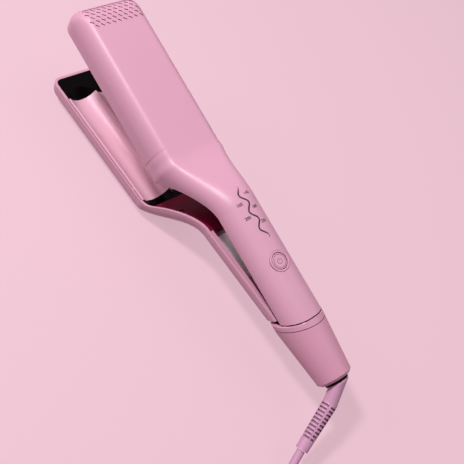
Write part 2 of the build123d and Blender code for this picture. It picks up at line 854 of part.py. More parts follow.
# ---------------------------------------------------------------- swivel and strain relief
with BuildPart() as swivel_washer:
    with BuildSketch(across(BODY, 0)):
        with Locations((0, cap_end_rise)):
            Circle(washer_radius)
            Circle(swivel_neck_radius + body_gap, mode=Mode.SUBTRACT)
    extrude(amount=-washer_thickness)
save(swivel_washer.part, "swivel_washer")

relief_x = -washer_thickness - body_gap
with BuildPart() as swivel_hub:
    with BuildSketch(across(BODY, relief_x)):
        with Locations((0, cap_end_rise)):
            Circle(swivel_neck_radius)
    extrude(amount=cap_wall + body_gap - relief_x)
    with BuildSketch(across(BODY, cap_wall + body_gap)):
        with Locations((0, cap_end_rise)):
            Circle(swivel_flange_radius)
    extrude(amount=swivel_flange)
save(swivel_hub.part, "swivel_hub")

bend_axis = BODY.z_dir * -cos(radians(relief_tilt)) - BODY.y_dir * sin(radians(relief_tilt))
relief_centre = BODY.from_local_coords(Vector(relief_x, 0, cap_end_rise))
RELIEF = Plane(origin=relief_centre, x_dir=-BODY.x_dir, z_dir=bend_axis)
sleeve_x = RELIEF.x_dir * cos(radians(relief_bend)) + RELIEF.y_dir * sin(radians(relief_bend))
elbow_point = relief_centre + RELIEF.x_dir * relief_elbow_reach
SLEEVE = Plane(origin=elbow_point, x_dir=bend_axis, z_dir=sleeve_x)
BASE = Plane(origin=relief_centre, x_dir=bend_axis, z_dir=RELIEF.x_dir)
with BuildPart() as strain_relief:
    with BuildSketch(BASE):
        Circle(relief_base_radius)
    extrude(amount=relief_base_thickness)
    with BuildSketch(BASE.offset(relief_base_thickness)):
        Circle(relief_base_radius)
    with BuildSketch(SLEEVE.offset(relief_waist)):
        Circle(relief_waist_radius)
    loft(ruled=True)
    with BuildSketch(SLEEVE.offset(relief_waist)):
        Circle(relief_waist_radius)
    with BuildSketch(SLEEVE.offset(relief_length)):
        Circle(relief_end_radius)
    loft()
    for i in range(slot_count):
        reach = first_slot + i * slot_pitch
        taper = (relief_waist_radius - relief_end_radius) / (relief_length - relief_waist)
        radius = relief_waist_radius - taper * (reach - relief_waist)
        with BuildSketch(SLEEVE.offset(reach)):
            with PolarLocations(radius, 4, start_angle=45):
                Rectangle(2 * slot_depth, slot_span)
        extrude(amount=slot_width, mode=Mode.SUBTRACT)
save(strain_relief.part, "strain_relief")


# ---------------------------------------------------------------- cord, coil and plug
def corner_radii(route):
    """Largest tangent arc for each corner of a route that leaves some straight between arcs."""
    radii = []
    for before, point, after in zip(route, route[1:], route[2:]):
        run_in = Vector(*point) - Vector(*before)
        run_out = Vector(*after) - Vector(*point)
        half_turn = radians(run_in.get_angle(run_out)) / 2
        radii.append(0.45 * min(run_in.length, run_out.length) / tan(half_turn))
    return radii


def cord_tube(route, name):
    """Cord along a route of straight runs joined by arcs."""
    radii = corner_radii(route)
    with BuildPart() as tube:
        with BuildLine() as path:
            FilletPolyline(*route, radius=radii)
        run_in = Vector(*route[1]) - Vector(*route[0])
        with BuildSketch(Plane(origin=route[0], z_dir=run_in)):
            Circle(cord_radius)
        sweep()
    length = sum(edge.length for edge in path.edges())
    print(name, "radii", [round(radius, 1) for radius in radii], "length", round(length, 1))
    print(name, "volume / (section x length)", round(tube.part.volume / (pi * cord_radius**2 * length), 4))
    save(tube.part, name)


# The cord runs down from the strain relief to the floor and on into its coil.
cord_route = [
    (-288.6, 43.1, 19.4),
    (-296.6, 61.0, 9.6),
    (-306.2, 73.0, 4.4),
    (-319.0, 87.5, 3.4),
]
# The other end leaves the top of the coil and curls across it to the plug that lies on it.
tail_route = [
    (-358.4, 98.0, 21.8),
    (-367.0, 95.4, 25.6),
    (-373.6, 87.4, 29.6),
    (-375.8, 77.5, 31.5),
    (-376.0, 67.5, 31.8),
]
cord_tube(cord_route, "power_cord")
cord_tube(tail_route, "power_cord_tail")

coil_inner = coil_mean_radius - coil_half_width
coil_outer = coil_mean_radius + coil_half_width
with BuildPart() as power_cord_coil:
    with BuildSketch():
        with Locations(coil_centre):
            Circle(coil_outer)
            Circle(coil_inner, mode=Mode.SUBTRACT)
    extrude(amount=coil_height)
save(power_cord_coil.part, "power_cord_coil")

with BuildPart() as coil_tie:
    with BuildSketch():
        with Locations(coil_centre):
            Rectangle(tie_width, coil_outer + tie_thickness, align=(Align.CENTER, Align.MIN))
            Circle(coil_inner - tie_thickness, mode=Mode.SUBTRACT)
    extrude(amount=coil_height + tie_thickness)
    add(power_cord_coil.part, mode=Mode.SUBTRACT)
save(coil_tie.part, "coil_tie")

plug_x, plug_y = plug_rear
plug_front_y = plug_y - plug_length
with BuildPart() as plug_body:
    with BuildSketch(Plane.XY.offset(coil_height)):
        with Locations((plug_x, plug_y - plug_length / 2)):
            RectangleRounded(plug_width, plug_length, plug_corner)
    extrude(amount=plug_height)
    fillet(plug_body.faces().sort_by(Axis.Z)[-1].edges(), plug_edge)
save(plug_body.part, "plug_body")

with BuildPart() as plug_pins:
    pins_start = (plug_x, plug_front_y, coil_height + plug_height / 2)
    with BuildSketch(Plane(origin=pins_start, x_dir=(1, 0, 0), z_dir=(0, -1, 0))):
        with Locations((-plug_pin_pitch / 2, 0), (plug_pin_pitch / 2, 0)):
            Circle(plug_pin_radius)
    extrude(amount=plug_pin_length)
save(plug_pins.part, "plug_pins")
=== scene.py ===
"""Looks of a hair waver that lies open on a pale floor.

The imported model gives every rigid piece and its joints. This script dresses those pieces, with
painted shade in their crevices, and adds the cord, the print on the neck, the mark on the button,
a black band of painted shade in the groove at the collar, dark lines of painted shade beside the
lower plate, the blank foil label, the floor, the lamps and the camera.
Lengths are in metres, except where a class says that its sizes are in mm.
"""

import json
import logging
import math
from dataclasses import dataclass, field
from enum import Enum

import bpy
from mathutils import Matrix, Quaternion, Vector

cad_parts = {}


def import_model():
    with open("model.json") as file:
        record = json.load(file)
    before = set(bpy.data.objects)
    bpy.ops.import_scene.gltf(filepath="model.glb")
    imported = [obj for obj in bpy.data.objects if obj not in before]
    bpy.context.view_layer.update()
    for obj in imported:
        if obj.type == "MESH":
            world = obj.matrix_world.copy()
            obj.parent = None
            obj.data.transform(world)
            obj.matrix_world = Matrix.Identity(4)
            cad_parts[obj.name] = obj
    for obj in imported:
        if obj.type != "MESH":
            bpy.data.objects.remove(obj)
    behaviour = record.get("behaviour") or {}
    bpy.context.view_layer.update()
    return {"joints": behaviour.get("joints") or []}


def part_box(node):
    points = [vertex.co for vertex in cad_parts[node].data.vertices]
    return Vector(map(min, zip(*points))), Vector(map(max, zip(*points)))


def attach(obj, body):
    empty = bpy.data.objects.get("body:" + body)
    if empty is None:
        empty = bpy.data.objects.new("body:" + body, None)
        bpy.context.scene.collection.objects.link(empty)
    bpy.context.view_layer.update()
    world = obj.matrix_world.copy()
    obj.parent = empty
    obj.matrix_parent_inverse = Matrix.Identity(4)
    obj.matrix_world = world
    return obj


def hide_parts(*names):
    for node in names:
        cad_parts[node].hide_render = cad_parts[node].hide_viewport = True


LOG = logging.getLogger("hair_waver")
MM = 0.001
Point = tuple[float, float, float]
Colour = tuple[float, float, float, float]

# The display curve is straight up to its knee and a power above it.
FULL_LEVEL = 255
CURVE_KNEE = 0.04045
CURVE_SLOPE = 12.92
CURVE_SHIFT = 0.055
CURVE_POWER = 2.4


def linear(red: int, green: int, blue: int) -> Colour:
    """Turn a display colour of 0 to 255 into the linear colour that a shader socket takes.

    Args:
        red: Red part of the display colour.
        green: Green part of the display colour.
        blue: Blue part of the display colour.

    Returns:
        Linear red, green and blue, and an alpha of 1.
    """
    parts = []
    for part in (red, green, blue):
        share = part / FULL_LEVEL
        if share <= CURVE_KNEE:
            parts.append(share / CURVE_SLOPE)
        else:
            parts.append(((share + CURVE_SHIFT) / (1 + CURVE_SHIFT)) ** CURVE_POWER)
    return (parts[0], parts[1], parts[2], 1.0)


def flat_piece(
    name: str, verts: list[Vector] | list[Point], faces: list[tuple[int, ...]]
) -> bpy.types.Object:
    """Make a mesh object and put it in the scene.

    Args:
        name: Name of the object and of its mesh.
        verts: Places of its corners, in metres.
        faces: Corners of each face, by number.

    Returns:
        The new object, with no finish yet.
    """
    mesh = bpy.data.meshes.new(name)
    mesh.from_pydata(verts, [], faces)
    piece = bpy.data.objects.new(name, mesh)
    bpy.context.scene.collection.objects.link(piece)
    return piece


# ------------------------------------------------------------------ tool frame
@dataclass(frozen=True)
class ToolFrame:
    """Place of the main body: x from the cord end to the tip, y to the left, z up, in mm.

    The hinge is in metres in the shared frame, and the tilt is in radians.
    """

    hinge: Vector
    tilt: float
    hinge_x: float = 40.7
    hinge_z: float = -10.2

    def point(self, x: float, y: float, z: float) -> Vector:
        """Turn a place on the main body, in mm, into the shared frame.

        Args:
            x: Distance from the cord end.
            y: Distance to the left of the middle.
            z: Height above the handle's centre line.

        Returns:
            The same place in metres in the shared frame.
        """
        along = (x - self.hinge_x) * MM
        above = (z - self.hinge_z) * MM
        level = along * math.cos(self.tilt) - above * math.sin(self.tilt)
        raised = along * math.sin(self.tilt) + above * math.cos(self.tilt)
        return self.hinge + Vector((level, y * MM, raised))

    def direction(self, x: float, y: float, z: float) -> Vector:
        """Turn a direction on the main body into the shared frame."""
        return (self.point(x, y, z) - self.point(0, 0, 0)).normalized()


# ------------------------------------------------------------------ shader node groups
class GroupName(Enum):
    """Names of the shared shader node groups."""

    MOULD_GRAIN = "mould_grain"
    TONE_DRIFT = "tone_drift"
    HANDLING_WEAR = "handling_wear"
    CREVICE_SHADE = "crevice_shade"


@dataclass(frozen=True)
class ShaderGroups:
    """Effects that more than one material uses, each built once."""

    noise_middle: float = 0.5
    grain_detail: float = 3.0
    grain_low: float = 0.3
    grain_high: float = 0.7
    drift_detail: float = 2.0
    smudge_detail: float = 4.0
    open_share: float = 0.85
    closed_share: float = 0.35
    crevice_samples: int = 8

    def build(self) -> None:
        """Build every group."""
        self._mould_grain()
        self._tone_drift()
        self._handling_wear()
        self._crevice_shade()

    @staticmethod
    def _new(name: GroupName, inputs: dict[str, float], output: str) -> bpy.types.NodeTree:
        """Make an empty group with float inputs and one float output.

        Args:
            name: Name of the group.
            inputs: Default value of each input socket.
            output: Name of the output socket.

        Returns:
            The new node tree, with its input and output nodes.
        """
        tree = bpy.data.node_groups.new(name.value, "ShaderNodeTree")
        for socket, value in inputs.items():
            made = tree.interface.new_socket(
                name=socket, in_out="INPUT", socket_type="NodeSocketFloat"
            )
            made.default_value = value
        tree.interface.new_socket(name=output, in_out="OUTPUT", socket_type="NodeSocketFloat")
        tree.nodes.new("NodeGroupInput").name = "in"
        tree.nodes.new("NodeGroupOutput").name = "out"
        return tree

    @staticmethod
    def _noise(tree: bpy.types.NodeTree, detail: float) -> bpy.types.Node:
        """Add a noise texture in object coordinates, sized by the group's Scale input.

        Args:
            tree: Group to add it to.
            detail: Octaves of the noise.

        Returns:
            The noise node.
        """
        place = tree.nodes.new("ShaderNodeTexCoord")
        noise = tree.nodes.new("ShaderNodeTexNoise")
        noise.inputs["Detail"].default_value = detail
        tree.links.new(place.outputs["Object"], noise.inputs["Vector"])
        tree.links.new(tree.nodes["in"].outputs["Scale"], noise.inputs["Scale"])
        return noise

    def _spread(self, tree: bpy.types.NodeTree, detail: float, amount: str) -> bpy.types.Node:
        """Add a noise that swings about a base value, which is the last input of its node.

        Args:
            tree: Group to add it to.
            detail: Octaves of the noise.
            amount: Name of the group's input that sets how far it swings.

        Returns:
            The node that adds the swing to the base value.
        """
        noise = self._noise(tree, detail)
        centred = tree.nodes.new("ShaderNodeMath")
        centred.operation = "SUBTRACT"
        centred.inputs[1].default_value = self.noise_middle
        scaled = tree.nodes.new("ShaderNodeMath")
        scaled.operation = "MULTIPLY_ADD"
        tree.links.new(noise.outputs["Fac"], centred.inputs[0])
        tree.links.new(centred.outputs["Value"], scaled.inputs[0])
        tree.links.new(tree.nodes["in"].outputs[amount], scaled.inputs[1])
        return scaled

    def _mould_grain(self) -> None:
        """Fine spark-eroded grain of a moulding: a height from 0 to 1."""
        tree = self._new(GroupName.MOULD_GRAIN, {"Scale": 900.0}, "Height")
        fine = self._noise(tree, self.grain_detail)
        ramp = tree.nodes.new("ShaderNodeMapRange")
        ramp.inputs["From Min"].default_value = self.grain_low
        ramp.inputs["From Max"].default_value = self.grain_high
        tree.links.new(fine.outputs["Fac"], ramp.inputs["Value"])
        tree.links.new(ramp.outputs["Result"], tree.nodes["out"].inputs["Height"])

    def _tone_drift(self) -> None:
        """Slow drift of a moulding's tone: a factor around 1 to multiply a colour by."""
        tree = self._new(GroupName.TONE_DRIFT, {"Scale": 14.0, "Amount": 0.04}, "Factor")
        drift = self._spread(tree, self.drift_detail, "Amount")
        drift.inputs[2].default_value = 1.0
        tree.links.new(drift.outputs["Value"], tree.nodes["out"].inputs["Factor"])

    def _handling_wear(self) -> None:
        """Faint polish and smudges from handling: a roughness around a base value."""
        sockets = {"Base": 0.4, "Spread": 0.06, "Scale": 60.0}
        tree = self._new(GroupName.HANDLING_WEAR, sockets, "Roughness")
        smudge = self._spread(tree, self.smudge_detail, "Spread")
        tree.links.new(tree.nodes["in"].outputs["Base"], smudge.inputs[2])
        tree.links.new(smudge.outputs["Value"], tree.nodes["out"].inputs["Roughness"])

    def _crevice_shade(self) -> None:
        """Painted shade in grooves and slots: a mask from ambient occlusion that rises towards 1
        where nearby surfaces close in.
        """
        tree = self._new(GroupName.CREVICE_SHADE, {"Reach": 0.0015, "Depth": 0.7}, "Mask")
        nearness = tree.nodes.new("ShaderNodeAmbientOcclusion")
        nearness.samples = self.crevice_samples
        closed = tree.nodes.new("ShaderNodeMapRange")
        closed.inputs["From Min"].default_value = self.open_share
        closed.inputs["From Max"].default_value = self.closed_share
        darkened = tree.nodes.new("ShaderNodeMath")
        darkened.operation = "MULTIPLY"
        tree.links.new(tree.nodes["in"].outputs["Reach"], nearness.inputs["Distance"])
        tree.links.new(nearness.outputs["AO"], closed.inputs["Value"])
        tree.links.new(closed.outputs["Result"], darkened.inputs[0])
        tree.links.new(tree.nodes["in"].outputs["Depth"], darkened.inputs[1])
        tree.links.new(darkened.outputs["Value"], tree.nodes["out"].inputs["Mask"])


# ------------------------------------------------------------------ finishes
@dataclass(frozen=True)
class Finish:
    """One surface finish: its colour, gloss and moulded texture, and any painted shade in its
    crevices.
    """

    colour: Colour
    roughness: float = 0.4
    roughness_spread: float = 0.08
    metallic: float = 0.0
    specular: float = 0.5
    sheen: float = 0.0
    drift: float = 0.05
    # Painted shade in crevices: its depth, how far the occlusion looks, and the dark colour mixed
    # in.
    crevice: float = 0.0
    crevice_reach: float = 0.0015
    crevice_shade_colour: Colour = linear(64, 16, 34)
    grain_scale: float = 1400.0
    grain_depth: float = 0.00001
    grain_strength: float = 0.6

    def material(self, name: str) -> bpy.types.Material:
        """Build the finish as a material.

        Args:
            name: Name of the material.

        Returns:
            A new material with its shader, grain, tone drift, handling wear and painted crevice
            shade.
        """
        material = bpy.data.materials.new(name)
        material.use_nodes = True
        tree = material.node_tree
        shader = tree.nodes["Principled BSDF"]
        shader.inputs["Metallic"].default_value = self.metallic
        shader.inputs["Specular IOR Level"].default_value = self.specular
        shader.inputs["Sheen Weight"].default_value = self.sheen

        wear = self._group(tree, GroupName.HANDLING_WEAR)
        wear.inputs["Base"].default_value = self.roughness
        wear.inputs["Spread"].default_value = self.roughness_spread
        tree.links.new(wear.outputs["Roughness"], shader.inputs["Roughness"])

        drift = self._group(tree, GroupName.TONE_DRIFT)
        drift.inputs["Amount"].default_value = self.drift
        tone = tree.nodes.new("ShaderNodeVectorMath")
        tone.operation = "SCALE"
        tone.inputs[0].default_value = self.colour[:3]
        tree.links.new(drift.outputs["Factor"], tone.inputs["Scale"])
        # Painted shade: where the occlusion mask finds a crevice, the colour is mixed towards the
        # dark crevice colour.
        if self.crevice:
            shade = self._group(tree, GroupName.CREVICE_SHADE)
            shade.inputs["Reach"].default_value = self.crevice_reach
            shade.inputs["Depth"].default_value = self.crevice
            shaded = tree.nodes.new("ShaderNodeMix")
            shaded.data_type = "RGBA"
            shaded.inputs["B"].default_value = self.crevice_shade_colour
            tree.links.new(shade.outputs["Mask"], shaded.inputs["Factor"])
            tree.links.new(tone.outputs["Vector"], shaded.inputs["A"])
            tree.links.new(shaded.outputs["Result"], shader.inputs["Base Color"])
        else:
            tree.links.new(tone.outputs["Vector"], shader.inputs["Base Color"])

        grain = self._group(tree, GroupName.MOULD_GRAIN)
        grain.inputs["Scale"].default_value = self.grain_scale
        bump = tree.nodes.new("ShaderNodeBump")
        bump.inputs["Distance"].default_value = self.grain_depth
        bump.inputs["Strength"].default_value = self.grain_strength
        tree.links.new(grain.outputs["Height"], bump.inputs["Height"])
        tree.links.new(bump.outputs["Normal"], shader.inputs["Normal"])
        return material

    @staticmethod
    def _group(tree: bpy.types.NodeTree, name: GroupName) -> bpy.types.Node:
        """Place a shared group in a material's tree.

        Args:
            tree: Node tree of the material.
            name: Name of the group.

        Returns:
            The node that holds the group.
        """
        node = tree.nodes.new("ShaderNodeGroup")
        node.node_tree = bpy.data.node_groups[name.value]
        return node


class FinishName(Enum):
    """The finishes of this tool's pieces."""

    PINK_SHELL = "pink_shell"
    PINK_TRIM = "pink_trim"
    LEVER_TRIM = "lever_trim"
    COATED_PLATE = "coated_plate"
    NECK_COVER = "neck_cover"
    BLACK_CAP = "black_cap"
    LILAC_FLEX = "lilac_flex"
    STEEL = "steel"
    BRASS = "brass"
    MICA = "mica"
    BOARD = "board"
    PRINT = "print"
    BUTTON_MARK = "button_mark"
    SEAM_SHADE = "seam_shade_band"
    PLATE_GAP_SHADE = "plate_gap_shade"
    FOIL = "foil"


FINISHES: dict[FinishName, Finish] = {
    # Painted shade in the shell's vents, slots and seams.
    FinishName.PINK_SHELL: Finish(
        linear(223, 163, 188), roughness=0.43, specular=0.55, crevice=0.55
    ),
    # Painted shade, deep and wide, that darkens the groove at the collar.
    FinishName.PINK_TRIM: Finish(
        linear(220, 155, 181), roughness=0.44, specular=0.7, crevice=1.0, crevice_reach=0.0024
    ),
    # Painted shade in the corners of the lever's channel.
    FinishName.LEVER_TRIM: Finish(linear(218, 150, 176), roughness=0.42, crevice=0.6),
    FinishName.COATED_PLATE: Finish(
        linear(242, 188, 208), roughness=0.38, metallic=0.1, specular=0.2, grain_depth=0.000003
    ),
    # Partly painted shade: a deep maroon, far darker than the pink shell, which holds the shade
    # that falls on this cover between the jaws.
    FinishName.NECK_COVER: Finish(linear(122, 14, 50), roughness=0.42, specular=0.06),
    FinishName.BLACK_CAP: Finish(linear(2, 2, 2), roughness=0.34, specular=0.06),
    # Painted shade in the slots of the strain relief and the plug.
    FinishName.LILAC_FLEX: Finish(
        linear(216, 158, 192), roughness=0.45, sheen=0.1, crevice=0.85, grain_depth=0.00002
    ),
    FinishName.STEEL: Finish(linear(170, 170, 172), roughness=0.3, metallic=1.0),
    FinishName.BRASS: Finish(linear(200, 170, 96), roughness=0.3, metallic=1.0),
    FinishName.MICA: Finish(linear(196, 184, 160), roughness=0.7),
    FinishName.BOARD: Finish(linear(30, 96, 52), roughness=0.45),
    FinishName.PRINT: Finish(linear(50, 18, 38), roughness=0.5, drift=0.02),
    FinishName.BUTTON_MARK: Finish(linear(158, 92, 120), roughness=0.5, drift=0.02),
    # Black, for the band of painted shade in the collar's groove.
    FinishName.SEAM_SHADE: Finish(linear(10, 4, 7), roughness=0.6, specular=0.2),
    # Dark maroon, for the lines of painted shade beside the lower plate.
    FinishName.PLATE_GAP_SHADE: Finish(linear(96, 40, 62), roughness=0.6, specular=0.2),
    FinishName.FOIL: Finish(
        linear(238, 237, 239), roughness=0.3, metallic=0.35, grain_scale=240.0, grain_depth=0.00008
    ),
}

NODE_FINISHES: dict[FinishName, list[str]] = {
    FinishName.PINK_SHELL: ["upper_housing", "lower_housing", "power_button"],
    FinishName.PINK_TRIM: ["hinge_collar", "rear_cap", "button_ring"],
    FinishName.LEVER_TRIM: ["lever_liner"],
    FinishName.COATED_PLATE: ["upper_wave_plate", "lower_wave_plate"],
    FinishName.NECK_COVER: ["upper_inner_cover", "lower_neck_cover"],
    FinishName.BLACK_CAP: [
        "upper_front_cap",
        "upper_rear_cap",
        "lower_front_cap",
        "lower_rear_cap",
        "swivel_washer",
        "swivel_hub",
        "temperature_sensor",
        "tact_switch",
    ],
    FinishName.LILAC_FLEX: ["strain_relief", "coil_tie", "plug_body"],
    FinishName.STEEL: [
        "hinge_pin",
        "torsion_spring",
        "plug_pins",
        "lower_cover_screws",
        "upper_cover_screws",
        "upper_heater",
        "lower_heater",
        "thermal_fuse",
    ],
    FinishName.BRASS: ["hinge_bush"],
    FinishName.MICA: ["upper_insulator", "lower_insulator"],
    FinishName.BOARD: ["control_board"],
}


class Wardrobe:
    """Builds each finish once and hands its material out."""

    def __init__(self) -> None:
        """Build the shared groups and every finish."""
        ShaderGroups().build()
        self._materials = {
            name: finish.material(name.value) for name, finish in FINISHES.items()
        }

    def of(self, name: FinishName) -> bpy.types.Material:
        """Give the material of a finish."""
        return self._materials[name]

    def dress(self, piece: bpy.types.Object, name: FinishName) -> None:
        """Give a piece one finish all over.

        Args:
            piece: Mesh or curve object to dress.
            name: Finish that it gets.
        """
        piece.data.materials.clear()
        piece.data.materials.append(self.of(name))

    def dress_frame(self) -> None:
        """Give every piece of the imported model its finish."""
        for name, nodes in NODE_FINISHES.items():
            for node in nodes:
                piece = bpy.data.objects[node]
                for slot in piece.material_slots:
                    slot.material = self.of(name)
                LOG.info("dressed %s in %s", node, name.value)


# ------------------------------------------------------------------ studio
@dataclass
class Viewpoint:
    """Camera of the main view, held at an angle above the tool's left side."""

    position: Vector = field(default_factory=lambda: Vector((-0.27034, 0.2930, 0.48613)))
    target: Vector = field(default_factory=lambda: Vector((-0.1380, 0.01132, 0.06956)))
    roll: float = math.radians(32.11)
    focal_length: float = 55.69
    sensor: float = 36.0

    def build(self) -> None:
        """Place the camera and make it the scene's own."""
        data = bpy.data.cameras.new("main_camera")
        data.lens = self.focal_length
        data.sensor_width = self.sensor
        data.dof.use_dof = False
        camera = bpy.data.objects.new("main_camera", data)
        aim = (self.target - self.position).to_track_quat("-Z", "Y")
        turned = aim @ Quaternion((0, 0, 1), self.roll)
        camera.matrix_world = Matrix.Translation(self.position) @ turned.to_matrix().to_4x4()
        bpy.context.scene.collection.objects.link(camera)
        bpy.context.scene.camera = camera


@dataclass(frozen=True)
class Lamp:
    """One soft area lamp aimed at the tool."""

    name: str
    position: Point
    size: tuple[float, float]
    power: float

    def build(self, target: Vector) -> None:
        """Place the lamp.

        Args:
            target: Point that the lamp faces.
        """
        data = bpy.data.lights.new(self.name, "AREA")
        data.shape = "RECTANGLE"
        data.size, data.size_y = self.size
        data.energy = self.power
        lamp = bpy.data.objects.new(self.name, data)
        place = Vector(self.position)
        aim = (target - place).to_track_quat("-Z", "Y")
        lamp.matrix_world = Matrix.Translation(place) @ aim.to_matrix().to_4x4()
        bpy.context.scene.collection.objects.link(lamp)


@dataclass
class Studio:
    """Pale floor, soft lamps and an even surround."""

    floor_size: float = 6.0
    floor_drop: float = 0.0002
    floor_colour: Colour = linear(240, 199, 213)
    floor_roughness: float = 0.9
    floor_specular: float = 0.1
    floor_evenness: float = 0.68
    floor_bounce: Colour = linear(150, 118, 130)
    surround_colour: Colour = linear(252, 248, 250)
    surround_strength: float = 0.2
    backdrop_colour: Colour = linear(244, 208, 220)
    backdrop_strength: float = 0.75
    aim: Vector = field(default_factory=lambda: Vector((-0.12, 0.0, 0.05)))
    lamps: tuple[Lamp, ...] = (
        Lamp("key_lamp", (0.40, 0.42, 1.16), (0.16, 0.16), 12.5),
        Lamp("side_lamp", (0.52, 0.66, 0.72), (0.3, 0.3), 1.3),
        Lamp("back_lamp", (-0.50, -0.60, 1.50), (1.0, 1.0), 3.8),
    )

    def build(self) -> None:
        """Build the floor, the surround and the lamps."""
        self._floor()
        self._surround()
        for lamp in self.lamps:
            lamp.build(self.aim)

    def _floor(self) -> None:
        """Make the floor, a plain sheet just under the tool."""
        half = self.floor_size / 2
        corners = [(-half, -half, 0), (half, -half, 0), (half, half, 0), (-half, half, 0)]
        floor = flat_piece("floor", corners, [(0, 1, 2, 3)])
        floor.location.z = -self.floor_drop
        floor.data.materials.append(self._floor_paint())

    def _floor_paint(self) -> bpy.types.Material:
        """Build the floor's paint, which glows a little where the camera or a mirror sees it.

        Returns:
            A new material. Its colour and its glow share the floor's colour out between them,
            and other rays meet a darker colour, so that the floor lights the tool less.
        """
        material = bpy.data.materials.new("floor_paint")
        material.use_nodes = True
        tree = material.node_tree
        shader = tree.nodes["Principled BSDF"]
        shader.inputs["Roughness"].default_value = self.floor_roughness
        shader.inputs["Specular IOR Level"].default_value = self.floor_specular
        seen_directly = self._seen_or_mirrored(tree)
        seen = tree.nodes.new("ShaderNodeMix")
        seen.data_type = "RGBA"
        lit_share = 1 - self.floor_evenness
        red, green, blue = (part * lit_share for part in self.floor_colour[:3])
        seen.inputs["A"].default_value = self.floor_bounce
        seen.inputs["B"].default_value = (red, green, blue, 1.0)
        tree.links.new(seen_directly, seen.inputs["Factor"])
        tree.links.new(seen.outputs["Result"], shader.inputs["Base Color"])
        glow = tree.nodes.new("ShaderNodeMath")
        glow.operation = "MULTIPLY"
        glow.inputs[1].default_value = self.floor_evenness
        tree.links.new(seen_directly, glow.inputs[0])
        tree.links.new(glow.outputs["Value"], shader.inputs["Emission Strength"])
        shader.inputs["Emission Color"].default_value = self.floor_colour
        return material

    def _surround(self) -> None:
        """Light the scene evenly from all sides, and show pale walls in what mirrors them."""
        world = bpy.data.worlds.new("surround")
        world.use_nodes = True
        tree = world.node_tree
        background = tree.nodes["Background"]
        seen_directly = self._seen_or_mirrored(tree)
        colour = tree.nodes.new("ShaderNodeMix")
        colour.data_type = "RGBA"
        colour.inputs["A"].default_value = self.surround_colour
        colour.inputs["B"].default_value = self.backdrop_colour
        tree.links.new(seen_directly, colour.inputs["Factor"])
        tree.links.new(colour.outputs["Result"], background.inputs["Color"])
        strength = tree.nodes.new("ShaderNodeMapRange")
        strength.inputs["To Min"].default_value = self.surround_strength
        strength.inputs["To Max"].default_value = self.backdrop_strength
        tree.links.new(seen_directly, strength.inputs["Value"])
        tree.links.new(strength.outputs["Result"], background.inputs["Strength"])
        bpy.context.scene.world = world

    @staticmethod
    def _seen_or_mirrored(tree: bpy.types.NodeTree) -> bpy.types.NodeSocket:
        """Add a factor that is 1 for camera, glossy and transmitted rays and 0 for others.

        Args:
            tree: Node tree of the floor or the surround.

        Returns:
            Socket that gives the factor.
        """
        path = tree.nodes.new("ShaderNodeLightPath")
        either = tree.nodes.new("ShaderNodeMath")
        either.operation = "MAXIMUM"
        all_three = tree.nodes.new("ShaderNodeMath")
        all_three.operation = "MAXIMUM"
        tree.links.new(path.outputs["Is Camera Ray"], either.inputs[0])
        tree.links.new(path.outputs["Is Glossy Ray"], either.inputs[1])
        tree.links.new(either.outputs["Value"], all_three.inputs[0])
        tree.links.new(path.outputs["Is Transmission Ray"], all_three.inputs[1])
        return all_three.outputs["Value"]


